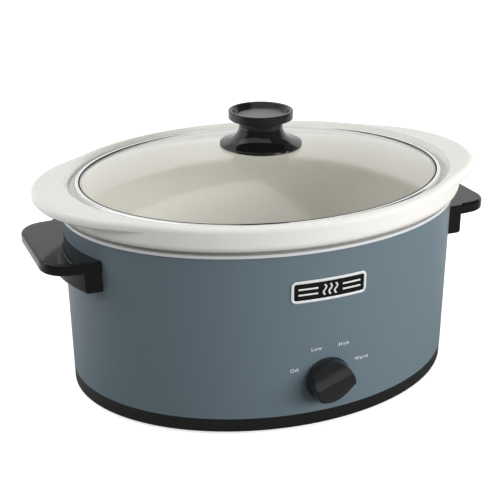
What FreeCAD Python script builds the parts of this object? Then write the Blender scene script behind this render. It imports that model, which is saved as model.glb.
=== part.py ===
import FreeCAD, Part
import math
import os

# An oval slow cooker: painted steel casing on a black base, steel heating
# well, lift-out stoneware crock, domed glass lid and a front heat dial.
# Millimetres, +Z up, +X along the long side, front towards -Y.
# The origin is on the table, at the middle of the oval.

V = FreeCAD.Vector
UP = V(0, 0, 1)
FRONT = V(0, -1, 0)

# ---------------------------------------------------------------- sizes
# Every oval is an ellipse, given by its half-length A and half-width B.

# base and feet
FOOT_HEIGHT = 3.0          # table to the skirt's lower edge
FOOT_RADIUS = 11.0
FOOT_INSET = 24.0          # foot's centre in from the skirt's oval
FOOT_ANGLE = 43.0          # its place round that oval, from +X
FOOT_STEM_RADIUS = 3.5
FOOT_BARB = 1.5            # how far the barb stands out past the stem
SKIRT_HEIGHT = 12.7
SKIRT_WALL = 2.4
SKIRT_DRAFT_A = 0.1        # how much narrower the skirt is at its foot
SKIRT_DRAFT_B = 1.6
FLOOR_LIFT = 2.0           # base floor above the skirt's lower edge
FLOOR_WALL = 2.4
SPIGOT_HEIGHT = 6.0        # lip of the base that stands inside the casing
SPIGOT_WALL = 1.8
SPIGOT_ROOT = 2.0          # how far the lip runs down into the skirt
SPIGOT_CLEARANCE = 0.15
VENT_COUNT = 6             # slots in each of two rows
VENT_PITCH = 13.0
VENT_LENGTH = 30.0
VENT_WIDTH = 3.2
VENT_CORNER = 1.2
VENT_ROW_Y = 62.0

# painted casing
CASING_TOP_A = 180.0
CASING_TOP_B = 143.2
CASING_HEIGHT = 146.9
CASING_DRAFT_A = 2.1
CASING_DRAFT_B = 0.9
CASING_WALL = 0.8

# heating well (liner) with its bright rolled lip
WELL_WALL = 0.8
WELL_GAP = 9.0             # casing's outer face to the well's outer face, at the top
WELL_TAPER = 6.0
WELL_CORNER = 30.0
WELL_DEPTH = 117.0
LIP_OVERHANG = 1.1         # lip past the casing's face
LIP_DROP = 1.6             # lip hangs this far down outside the casing
LIP_CLEARANCE = 0.2
LIP_ROUND = 0.5

# stoneware crock
CROCK_CLEARANCE = 2.0      # crock to well, all round
CROCK_WALL = 7.0
CROCK_FLOOR = 8.0
CROCK_CORNER = 28.0
CROCK_FOOT_HEIGHT = 2.0
CROCK_FOOT_WIDTH = 9.0
CROCK_FOOT_ROUND = 0.8
CROCK_FOOT_INSET = 34.0    # foot ring in from the crock's side
RIM_GAP = 3.2              # well lip to the underside of the rim
RIM_HEIGHT = 22.2
RIM_OVERHANG = 6.5         # rim past the casing's face
RIM_ROUND_TOP = 4.8
RIM_ROUND_BELOW = 6.0
RIM_LAND_ROUND = 1.2
EAR_OUT = 19.0             # ear's tip past the rim's oval
EAR_ANGLE = 46.5           # where the ear's side leaves the oval
EAR_WALL = 9.5             # the ears are thinner than the rim
EAR_ROUND_BELOW = 3.0
EAR_INSET = 0.6            # ear plate's oval inside the rim's, so the two blend
RECESS_LAND_A = 10.0       # rim's oval to the mouth of the lid's recess
RECESS_LAND_B = 6.2
RECESS_DEPTH = 7.0
RECESS_DRAFT_A = 4.5
RECESS_DRAFT_B = 2.1
MOUTH_ROUND = 3.0

# glass lid
LID_PLAY_A = 4.0           # recess's foot to the lid's band
LID_PLAY_B = 2.3
LID_BAND = 5.0             # band's width seen from above
LID_BAND_SHEET = 0.5
LID_BAND_ROUND = 0.8
GLASS_WALL = 3.5
GLASS_RISE = 25.5
GLASS_FLANGE = 6.0         # flat edge of the glass, inside the band
GLASS_HOLE = 3.5

# lid knob
FLARE_RADIUS = 36.6
FLARE_EDGE = 2.6
FLARE_CURVE = 14.0
FLARE_SLOPE = 5.2          # rise of the flare before it turns up
NECK_RADIUS = 19.3
NECK_TOP = 22.2            # glass top to the cap's underside
CAP_RADIUS = 28.6
CAP_HEIGHT = 7.6
CAP_RIM = 2.8
DISH_DEPTH = 5.1
DISC_RADIUS = 21.4
DISC_WALL = 0.8
INSERT_RADIUS = 4.5
INSERT_LENGTH = 14.0
INSERT_LIFT = 3.0
LID_SCREW_RADIUS = 2.5
LID_SCREW_REACH = 12.0     # above the glass
LID_SCREW_HEAD = 4.8
LID_WASHER_RADIUS = 9.0
LID_WASHER_WALL = 1.2

# side handles
HANDLE_OUT = 32.0          # handle's outer edge past the casing's oval
HANDLE_ROOT_WIDTH = 57.3   # half-width at the casing
HANDLE_TIP_WIDTH = 53.0    # half-width at the outer edge
HANDLE_CORNER = 23.0
HANDLE_BITE = 5.0          # blank past the casing's face, before it is trimmed to it
HANDLE_TOP = 17.1          # below the casing's top edge
HANDLE_PLATE = 10.5
HANDLE_DROP = 28.5         # top of the plate to the bottom of the mounting pad
PAD_DEPTH = 12.5           # pad past the casing's face
PAD_HALF_WIDTH = 56.0
PAD_EDGE = 3.0
HANDLE_EDGE = 2.8
POCKET_ROOF = 4.0          # wall left over the hollow under the grip
POCKET_WALL = 4.0          # wall left round it
POCKET_CORNER = 5.0
BOSS_Y = 30.0
BOSS_RADIUS = 6.0
BOSS_CLEARANCE = 0.3
BOSS_REACH = 3.4           # past the casing's inner face
HANDLE_SCREW_RADIUS = 2.0
HANDLE_SCREW_LENGTH = 13.0
HANDLE_SCREW_HEAD = 4.2
HANDLE_HEAD_HEIGHT = 2.4
HANDLE_WASHER_RADIUS = 7.5
HANDLE_WASHER_WALL = 1.0

# heat dial and its switch
DIAL_HEIGHT = 29.6         # above the skirt's upper edge
DIAL_RADIUS = 20.0
DIAL_SKIRT = 2.0
DIAL_CROWN_RADIUS = 19.3
DIAL_DEPTH = 18.0
DIAL_GAP = 0.9             # casing to the dial's back
DIAL_GRIP = 11.0           # width of the grip bar at its face
DIAL_GRIP_ANGLE = 20.0     # above +X, as the dial stands at rest
DIAL_SCOOP_RADIUS = 26.0
DIAL_SCOOP_FLOOR = 6.5     # least thickness in front of the dial's back
DIAL_HOLLOW_RADIUS = 11.5
DIAL_HOLLOW_DEPTH = 6.0
SHAFT_RADIUS = 3.0
SHAFT_FIT = 0.05
SHAFT_FLAT = 0.8
SHAFT_IN_DIAL = 12.0
SHAFT_ROOT = 0.6           # share of the switch that the shaft reaches into
SWITCH_EDGE = 1.5
DIAL_HUB_WALL = 2.4
DIAL_HUB_LIFT = 0.5        # bushing's end to the dial's hub
BUSHING_RADIUS = 5.0
BUSHING_CLEARANCE = 0.3
BUSHING_REACH = 4.6
NUT_ACROSS = 13.0
NUT_WALL = 2.4
SWITCH_WIDTH = 27.0
SWITCH_HEIGHT = 23.0
SWITCH_DEPTH = 12.0
SWITCH_SHOULDER = 8.0
SWITCH_SET_BACK = 1.6
BLADE_WIDTH = 4.8
BLADE_WALL = 0.8
BLADE_LENGTH = 7.5
BLADE_PITCH = 8.0
BLADE_COUNT = 3

# nameplate
PLATE_WIDTH = 68.0
PLATE_HEIGHT = 19.5
PLATE_CORNER = 4.0
PLATE_FRAME = 2.0
PLATE_PROUD = 1.2
PLATE_FIELD = 0.7
PLATE_CENTRE = 34.6        # below the casing's top edge

# heater and its fittings
HEATER_WALL = 2.2
HEATER_HEIGHT = 42.0
HEATER_LIFT = 28.0         # above the well's floor
STRAP_WALL = 0.6
STRAP_HEIGHT = 9.0
FUSE_RADIUS = 2.4
FUSE_LENGTH = 16.0
FUSE_GAP = 0.1
FUSE_TAIL = 8.0
FUSE_TAIL_RADIUS = 0.6
FUSE_X = 22.0
FUSE_LIFT = 6.0            # above the heater
CLIP_WALL = 0.8
CLIP_WIDTH = 8.0
SHIELD_WALL = 0.6
SHIELD_INSET = 22.0
SHIELD_RIM = 7.0
SHIELD_LIFT = 15.0         # above the base floor
STUD_RADIUS = 3.0
STUD_FLANGE = 12.0
STUD_FLANGE_WALL = 1.5
STUD_TAIL = 8.0
STUD_HOLE_CLEARANCE = 0.5
STUD_WELL_RADIUS = 16.0    # sunk seat in the base floor for the nut
STUD_WASHER_RADIUS = 9.0
STUD_WASHER_WALL = 1.2
STUD_NUT_ACROSS = 10.0
STUD_NUT_HEIGHT = 4.5

# cord gland and terminal block at the back
GLAND_LIFT = 18.0          # above the skirt's upper edge
GLAND_BORE = 3.6
GLAND_BODY = 6.0
GLAND_FLANGE = 9.0
GLAND_FLANGE_WALL = 2.5
GLAND_SNOUT = 12.0
GLAND_SNOUT_RADIUS = 5.6
GLAND_TAIL = 4.0
BLOCK_LENGTH = 34.0
BLOCK_DEPTH = 16.0
BLOCK_HEIGHT = 13.0
BLOCK_BACK = 30.0          # block's back in from the casing's foot
BLOCK_POLES = 3
BLOCK_HOLE = 2.0

# --------------------------------------------------------- heights worked out
SKIRT_Z = FOOT_HEIGHT
CASING_Z = SKIRT_Z + SKIRT_HEIGHT
CASING_TOP = CASING_Z + CASING_HEIGHT
FLOOR_Z = SKIRT_Z + FLOOR_LIFT
FLOOR_TOP = FLOOR_Z + FLOOR_WALL
LIP_TOP = CASING_TOP + WELL_WALL
WELL_FLOOR = LIP_TOP - WELL_DEPTH            # inside of the well
RIM_Z = LIP_TOP + RIM_GAP
RIM_TOP = RIM_Z + RIM_HEIGHT
LEDGE_Z = RIM_TOP - RECESS_DEPTH             # the lid rests here
BAND_TOP = LEDGE_Z + GLASS_WALL + 2 * LID_BAND_SHEET
GLASS_EDGE_Z = LEDGE_Z + LID_BAND_SHEET      # underside of the glass's edge
GLASS_TOP = GLASS_EDGE_Z + GLASS_WALL + GLASS_RISE
HANDLE_Z = CASING_TOP - HANDLE_TOP           # top of the grip
DIAL_Z = CASING_Z + DIAL_HEIGHT
PLATE_Z = CASING_TOP - PLATE_CENTRE
GLAND_Z = CASING_Z + GLAND_LIFT

os.makedirs("parts", exist_ok=True)


def save(name, *solids):
    """Write one named sub-part, as one solid or as several alike."""
    shape = solids[0] if len(solids) == 1 else Part.makeCompound(solids)
    shape.exportStep("parts/%s.step" % name)
    print("%-18s %9.1f mm3  valid %s" % (name, shape.Volume, shape.isValid()))
    return shape


# ------------------------------------------------------------ drawing tools
def outline(points, place):
    """A closed wire of straight runs. A point (u, v, r) has its corner rounded to r.

    place(u, v) puts a flat point in space.
    """
    flat = []
    count = len(points)
    for i, point in enumerate(points):
        u, v = point[:2]
        r = point[2] if len(point) > 2 else 0.0
        if r <= 0:
            flat.append([(u, v)])
            continue
        before, after = points[i - 1][:2], points[(i + 1) % count][:2]
        ends = []
        for other in (before, after):
            run = math.hypot(other[0] - u, other[1] - v)
            ends.append(((other[0] - u) / run, (other[1] - v) / run))
        dot = ends[0][0] * ends[1][0] + ends[0][1] * ends[1][1]
        half = math.acos(max(-1.0, min(1.0, dot))) / 2
        reach = r / math.tan(half)
        middle = (ends[0][0] + ends[1][0], ends[0][1] + ends[1][1])
        size = math.hypot(*middle)
        near = r / math.sin(half) - r
        flat.append([
            (u + ends[0][0] * reach, v + ends[0][1] * reach),
            (u + middle[0] / size * near, v + middle[1] / size * near),
            (u + ends[1][0] * reach, v + ends[1][1] * reach),
        ])
    edges = []
    for i, corner in enumerate(flat):
        if len(corner) == 3:
            a, m, b = (place(*p) for p in corner)
            edges.append(Part.Arc(a, m, b).toShape())
        start, end = place(*corner[-1]), place(*flat[(i + 1) % count][0])
        if start.distanceToPoint(end) > 1e-6:
            edges.append(Part.LineSegment(start, end).toShape())
    return Part.Wire(Part.__sortEdges__(edges))


def slab(points, z0, z1):
    """An upright slab with the given outline in plan."""
    face = Part.Face(outline(points, lambda u, v: V(u, v, z0)))
    return face.extrude(V(0, 0, z1 - z0))


def turned(points):
    """A solid turned about Z from a half profile (r, z)."""
    face = Part.Face(outline(points, lambda u, v: V(u, 0, v)))
    return face.revolve(V(0, 0, 0), UP, 360)


def squashed(shape, squash):
    """The shape with its Y sizes times squash."""
    matrix = FreeCAD.Matrix()
    matrix.scale(1, squash, 1)
    return shape.transformGeometry(matrix)


def ring_wire(size, z):
    """An ellipse of half-length and half-width size, level at height z."""
    return Part.Wire([Part.Ellipse(V(0, 0, z), size[0], size[1]).toShape()])


def oval(low, high, z0, z1):
    """A solid between an ellipse at z0 and another at z1."""
    if low == high:
        return Part.Face(ring_wire(low, z0)).extrude(V(0, 0, z1 - z0))
    return Part.makeLoft([ring_wire(low, z0), ring_wire(high, z1)], True, True)


def grown(size, by):
    """An oval's half sizes, all round larger by the given amount."""
    return (size[0] + by, size[1] + by)


def rod(radius, start, axis, length):
    return Part.makeCylinder(radius, length, start, axis)


def hexagon(across, start, axis, length):
    """A six-sided prism, its flats the given distance apart."""
    u = axis.cross(V(1, 0, 0) if abs(axis.x) < 0.5 else V(0, 0, 1)).normalize()
    w = axis.cross(u)
    reach = across / math.sqrt(3)
    corners = []
    for i in range(7):
        angle = math.radians(60 * i)
        corners.append(start + u * (reach * math.cos(angle)) + w * (reach * math.sin(angle)))
    return Part.Face(Part.makePolygon(corners)).extrude(axis * length)


def block(x0, x1, y0, y1, z0, z1):
    return Part.makeBox(x1 - x0, y1 - y0, z1 - z0, V(x0, y0, z0))


def edges_where(shape, test):
    """The edges whose box passes the test."""
    return [e for e in shape.Edges if test(e.BoundBox)]


def mirrored_x(shape):
    return shape.mirror(V(0, 0, 0), V(1, 0, 0))


# ------------------------------------------------------------------ the ovals
casing_top = (CASING_TOP_A, CASING_TOP_B)
casing_low = (CASING_TOP_A - CASING_DRAFT_A, CASING_TOP_B - CASING_DRAFT_B)
skirt_low = (casing_low[0] - SKIRT_DRAFT_A, casing_low[1] - SKIRT_DRAFT_B)
well_top = grown(casing_top, -WELL_GAP)
rim_size = grown(casing_top, RIM_OVERHANG)
recess_size = (rim_size[0] - RECESS_LAND_A, rim_size[1] - RECESS_LAND_B)
recess_low = (recess_size[0] - RECESS_DRAFT_A, recess_size[1] - RECESS_DRAFT_B)
lid_size = (recess_low[0] - LID_PLAY_A, recess_low[1] - LID_PLAY_B)
ear_reach = rim_size[0] + EAR_OUT
handle_reach = casing_top[0] + HANDLE_OUT


def casing_size(z, inset=0.0):
    """The casing's half sizes at height z, less an inset."""
    share = (z - CASING_Z) / CASING_HEIGHT
    return (casing_low[0] + CASING_DRAFT_A * share - inset,
            casing_low[1] + CASING_DRAFT_B * share - inset)


def casing_solid(inset=0.0, z0=CASING_Z, z1=CASING_TOP):
    """The casing's outer form as a full solid, in by an inset."""
    return oval(casing_size(z0, inset), casing_size(z1, inset), z0, z1)


def casing_x(y, z, inset=0.0):
    """How far out the casing's face is, along X, at a given y and height."""
    a, b = casing_size(z, inset)
    return a * math.sqrt(1 - (y / b) ** 2)


def well_size(z, inset=0.0):
    """The well's outer half sizes at height z, less an inset."""
    share = (LIP_TOP - z) / WELL_DEPTH
    return grown(well_top, -WELL_TAPER * share - inset)


def bowl(inset, z_floor, z_top, corner):
    """A full bowl that follows the well, in by an inset: tapered side, round corner."""
    form = oval(well_size(z_floor, inset), well_size(z_top, inset), z_floor, z_top)
    return form.makeFillet(corner, edges_where(form, lambda box: box.ZMax < z_floor + 0.01))


# ---------------------------------------------------------------- outer casing
outer_solid = casing_solid()
inner_solid = casing_solid(CASING_WALL, CASING_Z - 1, CASING_TOP + 1)


def handle_boss_places():
    """The four handle bosses: side (+1 or -1) and y."""
    return [(side, y) for side in (-1, 1) for y in (-BOSS_Y, BOSS_Y)]


boss_z = HANDLE_Z - HANDLE_DROP + (HANDLE_DROP - HANDLE_PLATE) / 2
boss_face = casing_x(BOSS_Y, boss_z, CASING_WALL) - BOSS_REACH


def make_casing():
    shell = outer_solid.cut(inner_solid)
    for side, y in handle_boss_places():
        hole = rod(BOSS_RADIUS + BOSS_CLEARANCE, V(side * (boss_face - 5), y, boss_z),
                   V(side, 0, 0), PAD_DEPTH + 10)
        shell = shell.cut(hole)
    dial_hole = rod(BUSHING_RADIUS + BUSHING_CLEARANCE,
                    V(0, -casing_low[1] + 12, DIAL_Z), FRONT, 20)
    gland_hole = rod(GLAND_BODY, V(0, casing_low[1] - 12, GLAND_Z), V(0, 1, 0), 20)
    return shell.cut(dial_hole).cut(gland_hole)


outer_casing = save("outer_casing", make_casing())


# ------------------------------------------------------------- base and feet
stud_seat_z = SKIRT_Z + FLOOR_LIFT + STUD_WASHER_WALL + STUD_NUT_HEIGHT + 3.0


def foot_places():
    x = (skirt_low[0] - FOOT_INSET) * math.cos(math.radians(FOOT_ANGLE))
    y = (skirt_low[1] - FOOT_INSET) * math.sin(math.radians(FOOT_ANGLE))
    return [("front_left", -x, -y), ("front_right", x, -y),
            ("rear_left", -x, y), ("rear_right", x, y)]


def skirt_solid(inset, z0, z1):
    """The skirt's outer form between two heights, in by an inset."""
    sizes = []
    for z in (z0, z1):
        share = (z - SKIRT_Z) / SKIRT_HEIGHT
        sizes.append((skirt_low[0] + SKIRT_DRAFT_A * share - inset,
                      skirt_low[1] + SKIRT_DRAFT_B * share - inset))
    return oval(sizes[0], sizes[1], z0, z1)


def make_base():
    """A tray: skirt, floor, a lip up inside the casing and a sunk seat for the nut."""
    body = skirt_solid(0, SKIRT_Z, CASING_Z)
    body = body.cut(skirt_solid(SKIRT_WALL, FLOOR_TOP, CASING_Z + 1))
    body = body.cut(skirt_solid(SKIRT_WALL, SKIRT_Z - 1, FLOOR_Z))
    lip_out = grown(casing_low, -CASING_WALL - SPIGOT_CLEARANCE)
    lip_in = grown(lip_out, -SPIGOT_WALL)
    lip_z = CASING_Z - SPIGOT_ROOT
    lip_top = CASING_Z + SPIGOT_HEIGHT
    lip = oval(lip_out, lip_out, lip_z, lip_top).cut(oval(lip_in, lip_in, lip_z - 1, lip_top + 1))
    body = body.fuse(lip)
    body = body.fuse(rod(STUD_WELL_RADIUS + FLOOR_WALL, V(0, 0, FLOOR_Z), UP,
                         stud_seat_z + FLOOR_WALL - FLOOR_Z))
    body = body.cut(rod(STUD_WELL_RADIUS, V(0, 0, FLOOR_Z - 1), UP, stud_seat_z - FLOOR_Z + 1))
    body = body.cut(rod(STUD_RADIUS + STUD_HOLE_CLEARANCE, V(0, 0, FLOOR_Z), UP, 40))
    for name, x, y in foot_places():
        body = body.cut(rod(FOOT_STEM_RADIUS, V(x, y, FLOOR_Z - 1), UP, FLOOR_WALL + 2))
    for row in (-1, 1):
        for i in range(VENT_COUNT):
            x = (i - (VENT_COUNT - 1) / 2) * VENT_PITCH
            y = row * VENT_ROW_Y
            slot = slab([(x - VENT_WIDTH / 2, y - VENT_LENGTH / 2, VENT_CORNER),
                         (x + VENT_WIDTH / 2, y - VENT_LENGTH / 2, VENT_CORNER),
                         (x + VENT_WIDTH / 2, y + VENT_LENGTH / 2, VENT_CORNER),
                         (x - VENT_WIDTH / 2, y + VENT_LENGTH / 2, VENT_CORNER)],
                        FLOOR_Z - 1, FLOOR_TOP + 1)
            body = body.cut(slot)
    return body


base_pan = save("base_pan", make_base())

for name, x, y in foot_places():
    head = FOOT_STEM_RADIUS + FOOT_BARB
    foot = turned([(0, 0), (FOOT_RADIUS, 0, 1.0), (FOOT_RADIUS, FLOOR_Z),
                   (FOOT_STEM_RADIUS, FLOOR_Z), (FOOT_STEM_RADIUS, FLOOR_TOP),
                   (head, FLOOR_TOP), (FOOT_STEM_RADIUS, FLOOR_TOP + 4.0), (0, FLOOR_TOP + 4.0)])
    foot.translate(V(x, y, 0))
    save("foot_" + name, foot)


# ---------------------------------------------------------------- heating well
def make_well():
    """A thin steel bowl whose edge runs out over the casing and turns down past it."""
    lip_out = grown(casing_top, LIP_OVERHANG)
    flange = oval(lip_out, lip_out, CASING_TOP - LIP_DROP, LIP_TOP)
    under = grown(casing_top, LIP_CLEARANCE)
    flange = flange.cut(oval(under, under, CASING_TOP - LIP_DROP - 1, CASING_TOP))
    top_edge = edges_where(flange, lambda box: box.ZMin > LIP_TOP - 0.01)
    flange = flange.makeFillet(LIP_ROUND, top_edge)
    outside = bowl(0, WELL_FLOOR - WELL_WALL, LIP_TOP, WELL_CORNER)
    inside = bowl(WELL_WALL, WELL_FLOOR, LIP_TOP + 5, WELL_CORNER - WELL_WALL)
    outside = outside.cut(inside)
    mouth = grown(well_top, -WELL_WALL / 2)
    flange = flange.cut(oval(mouth, mouth, CASING_TOP - 5, LIP_TOP + 1))
    return outside.fuse(flange).cut(inside).removeSplitter()


liner_pan = save("liner_pan", make_well())

well_bottom = WELL_FLOOR - WELL_WALL
stud = turned([(0, well_bottom), (STUD_FLANGE, well_bottom),
               (STUD_FLANGE, well_bottom - STUD_FLANGE_WALL),
               (STUD_RADIUS, well_bottom - STUD_FLANGE_WALL),
               (STUD_RADIUS, stud_seat_z - STUD_TAIL), (0, stud_seat_z - STUD_TAIL)])
save("liner_stud", stud)
washer_z = stud_seat_z - STUD_WASHER_WALL
save("stud_washer", rod(STUD_WASHER_RADIUS, V(0, 0, washer_z), UP, STUD_WASHER_WALL).cut(
    rod(STUD_RADIUS, V(0, 0, washer_z - 1), UP, 5)))
nut_z = washer_z - STUD_NUT_HEIGHT
save("stud_nut", hexagon(STUD_NUT_ACROSS, V(0, 0, nut_z), UP, STUD_NUT_HEIGHT).cut(
    rod(STUD_RADIUS, V(0, 0, nut_z - 1), UP, STUD_NUT_HEIGHT + 2)))


# ------------------------------------------------- heat shield under the well
def make_shield():
    """A shallow tray that keeps the well's heat off the base; it stands on a sleeve."""
    size = grown(casing_low, -SHIELD_INSET)
    z0 = FLOOR_TOP + SHIELD_LIFT
    tray = oval(size, size, z0, z0 + SHIELD_RIM)
    within = grown(size, -SHIELD_WALL)
    tray = tray.cut(oval(within, within, z0 + SHIELD_WALL, z0 + SHIELD_RIM + 1))
    hole = STUD_RADIUS + STUD_HOLE_CLEARANCE
    sleeve_z = stud_seat_z + FLOOR_WALL
    sleeve = rod(hole + 3, V(0, 0, sleeve_z), UP, z0 + SHIELD_WALL - sleeve_z)
    return tray.fuse(sleeve).cut(rod(hole, V(0, 0, sleeve_z - 1), UP, 40))


save("heat_shield", make_shield())


# ------------------------------------------------------------ heater and fuse
heater_z0 = WELL_FLOOR + HEATER_LIFT
heater_z1 = heater_z0 + HEATER_HEIGHT


def band(inset, wall, z0, z1):
    """A band wrapped round the well: from inset outwards by wall, between heights."""
    corner = WELL_CORNER
    hug = bowl(inset, well_bottom, LIP_TOP, corner)
    over = bowl(inset - wall, well_bottom - wall, LIP_TOP, corner + wall)
    zone = block(-400, 400, -400, 400, z0, z1)
    return over.cut(hug).common(zone)


heater = band(0, HEATER_WALL, heater_z0, heater_z1)
lead_slot = block(-6, 6, 0, 400, heater_z0 - 1, heater_z1 + 1)
save("heater_band", heater.cut(lead_slot))
strap_z = (heater_z0 + heater_z1 - STRAP_HEIGHT) / 2
strap = band(-HEATER_WALL, STRAP_WALL, strap_z, strap_z + STRAP_HEIGHT)
save("heater_strap", strap)

# the fuse lies along X against the well's side, above the heater, at the back
fuse_z = heater_z1 + FUSE_LIFT
fuse_end = FUSE_X - FUSE_LENGTH / 2
well_a, well_b = well_size(fuse_z)
well_y = well_b * math.sqrt(1 - (fuse_end / well_a) ** 2)
fuse_y = well_y + FUSE_RADIUS + FUSE_GAP
ALONG = V(1, 0, 0)
fuse = rod(FUSE_RADIUS, V(fuse_end, fuse_y, fuse_z), ALONG, FUSE_LENGTH)
tails = rod(FUSE_TAIL_RADIUS, V(fuse_end - FUSE_TAIL, fuse_y, fuse_z), ALONG,
            FUSE_LENGTH + 2 * FUSE_TAIL)
save("thermal_fuse", fuse.fuse(tails))


def make_clip():
    """A saddle that holds the fuse down on the well's side."""
    reach = FUSE_RADIUS + CLIP_WALL
    x0 = FUSE_X - CLIP_WIDTH / 2
    loop = rod(reach, V(x0, fuse_y, fuse_z), ALONG, CLIP_WIDTH)
    saddle = block(x0, x0 + CLIP_WIDTH, fuse_y - 2 * reach, fuse_y,
                   fuse_z - reach, fuse_z + reach)
    clip = loop.fuse(saddle).cut(rod(FUSE_RADIUS, V(x0 - 1, fuse_y, fuse_z), ALONG,
                                     CLIP_WIDTH + 2))
    return clip.cut(bowl(0, well_bottom, LIP_TOP, WELL_CORNER))


save("fuse_clip", make_clip())


# ---------------------------------------------------------------------- crock
crock_inset = WELL_WALL + CROCK_CLEARANCE
crock_floor_z = WELL_FLOOR + CROCK_FOOT_HEIGHT


def ear_outline(z):
    """The ears in plan: an oval whose tangents at EAR_ANGLE run out to a round tip.

    The tip is the arc through ear_reach that both tangents touch: with a tangent's distance
    D from the centre and its outward direction n, its radius is (D - reach nx) / (1 - nx).
    """
    a, b = grown(rim_size, -EAR_INSET)
    t = math.radians(EAR_ANGLE)
    start = (a * math.cos(t), b * math.sin(t))
    size = math.hypot(a * math.sin(t), b * math.cos(t))
    out = (b * math.cos(t) / size, a * math.sin(t) / size)
    away = start[0] * out[0] + start[1] * out[1]
    radius = (away - ear_reach * out[0]) / (1 - out[0])
    meet = (ear_reach - radius + radius * out[0], radius * out[1])

    edges = []
    for sx in (-1, 1):
        for sy in (-1, 1):
            side = [V(sx * p[0], sy * p[1], z) for p in (start, meet)]
            edges.append(Part.LineSegment(*side).toShape())
        tip = [V(sx * meet[0], meet[1], z), V(sx * ear_reach, 0, z), V(sx * meet[0], -meet[1], z)]
        edges.append(Part.Arc(*tip).toShape())
    ring = Part.Ellipse(V(0, 0, z), a, b)
    edges.append(ring.toShape(t, math.pi - t))
    edges.append(ring.toShape(math.pi + t, 2 * math.pi - t))
    return Part.Wire(Part.__sortEdges__(edges))


def rounded_slab(form, low, below):
    """A plate with its lower edges rounded to below and its upper ones to RIM_ROUND_TOP."""
    form = form.makeFillet(RIM_ROUND_TOP, edges_where(form, lambda box: box.ZMin > RIM_TOP - 0.01))
    return form.makeFillet(below, edges_where(form, lambda box: box.ZMax < low + 0.01))


def make_crock():
    ear_z = RIM_TOP - EAR_WALL
    rim = rounded_slab(oval(rim_size, rim_size, RIM_Z, RIM_TOP), RIM_Z, RIM_ROUND_BELOW)
    ears = Part.Face(ear_outline(ear_z)).extrude(V(0, 0, EAR_WALL))
    rim = rim.fuse(rounded_slab(ears, ear_z, EAR_ROUND_BELOW))
    body = bowl(crock_inset, crock_floor_z, RIM_Z + 2, CROCK_CORNER)
    ring_out = well_size(crock_floor_z, crock_inset + CROCK_FOOT_INSET)
    ring_in = grown(ring_out, -CROCK_FOOT_WIDTH)
    foot_ring = oval(ring_out, ring_out, WELL_FLOOR, crock_floor_z + 1)
    foot_ring = foot_ring.cut(oval(ring_in, ring_in, WELL_FLOOR - 1, crock_floor_z + 2))
    foot_ring = foot_ring.makeFillet(CROCK_FOOT_ROUND, edges_where(
        foot_ring, lambda box: box.ZMax < WELL_FLOOR + 0.01))
    crock = body.fuse(rim).fuse(foot_ring)
    recess = oval(recess_low, recess_size, LEDGE_Z, RIM_TOP)
    crock = crock.cut(recess)
    cavity = bowl(crock_inset + CROCK_WALL, crock_floor_z + CROCK_FLOOR, RIM_TOP + 5,
                  CROCK_CORNER - 1)
    crock = crock.cut(cavity)
    mouth = edges_where(crock, lambda box: abs(box.ZMin - LEDGE_Z) < 0.02
                        and abs(box.ZMax - LEDGE_Z) < 0.02 and box.XMax < lid_size[0])
    crock = crock.makeFillet(MOUTH_ROUND, mouth)
    return crock


crock = save("crock", make_crock())


# ------------------------------------------------------------------------ lid
glass_size = grown(lid_size, -LID_BAND_SHEET)
glass_squash = glass_size[1] / glass_size[0]
dome_a = glass_size[0] - GLASS_FLANGE
dome_radius = (dome_a ** 2 + GLASS_RISE ** 2) / (2 * GLASS_RISE)


def dome_face(z_edge):
    """The half profile of the dome's face above z_edge, from its foot to its top."""
    mid = dome_a / 2
    drop = dome_radius - math.sqrt(dome_radius ** 2 - mid ** 2)
    top = z_edge + GLASS_RISE
    return [V(dome_a, 0, z_edge), V(mid, 0, top - drop), V(0, 0, top)]


def make_glass():
    low, high = GLASS_EDGE_Z, GLASS_EDGE_Z + GLASS_WALL
    edge = glass_size[0]
    upper, lower = dome_face(high), dome_face(low)
    edges = [Part.LineSegment(V(edge, 0, low), V(edge, 0, high)).toShape(),
             Part.LineSegment(V(edge, 0, high), upper[0]).toShape(),
             Part.Arc(*upper).toShape(),
             Part.LineSegment(upper[2], lower[2]).toShape(),
             Part.Arc(*lower).toShape(),
             Part.LineSegment(lower[0], V(edge, 0, low)).toShape()]
    face = Part.Face(Part.Wire(Part.__sortEdges__(edges)))
    glass = squashed(face.revolve(V(0, 0, 0), UP, 360), glass_squash)
    return glass.cut(rod(GLASS_HOLE, V(0, 0, GLASS_EDGE_Z), UP, 60))


def dome_solid():
    """Everything below the top face of the glass, near the knob."""
    upper = dome_face(GLASS_EDGE_Z + GLASS_WALL)
    edges = [Part.Arc(*upper).toShape(),
             Part.LineSegment(upper[2], V(0, 0, LEDGE_Z - 5)).toShape(),
             Part.LineSegment(V(0, 0, LEDGE_Z - 5), V(dome_a, 0, LEDGE_Z - 5)).toShape(),
             Part.LineSegment(V(dome_a, 0, LEDGE_Z - 5), upper[0]).toShape()]
    face = Part.Face(Part.Wire(Part.__sortEdges__(edges)))
    return squashed(face.revolve(V(0, 0, 0), UP, 360), glass_squash)


lid_glass = save("lid_glass", make_glass())


def make_band():
    """A channel of thin steel that wraps the edge of the glass."""
    inner = grown(lid_size, -LID_BAND)
    band_solid = oval(lid_size, lid_size, LEDGE_Z, BAND_TOP)
    band_solid = band_solid.makeFillet(LID_BAND_ROUND, edges_where(band_solid,
                                                        lambda box: box.ZMin > BAND_TOP - 0.01))
    band_solid = band_solid.cut(oval(inner, inner, LEDGE_Z - 1, BAND_TOP + 1))
    slot = oval(glass_size, glass_size, GLASS_EDGE_Z, GLASS_EDGE_Z + GLASS_WALL)
    return band_solid.cut(slot)


save("lid_rim", make_band())


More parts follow.
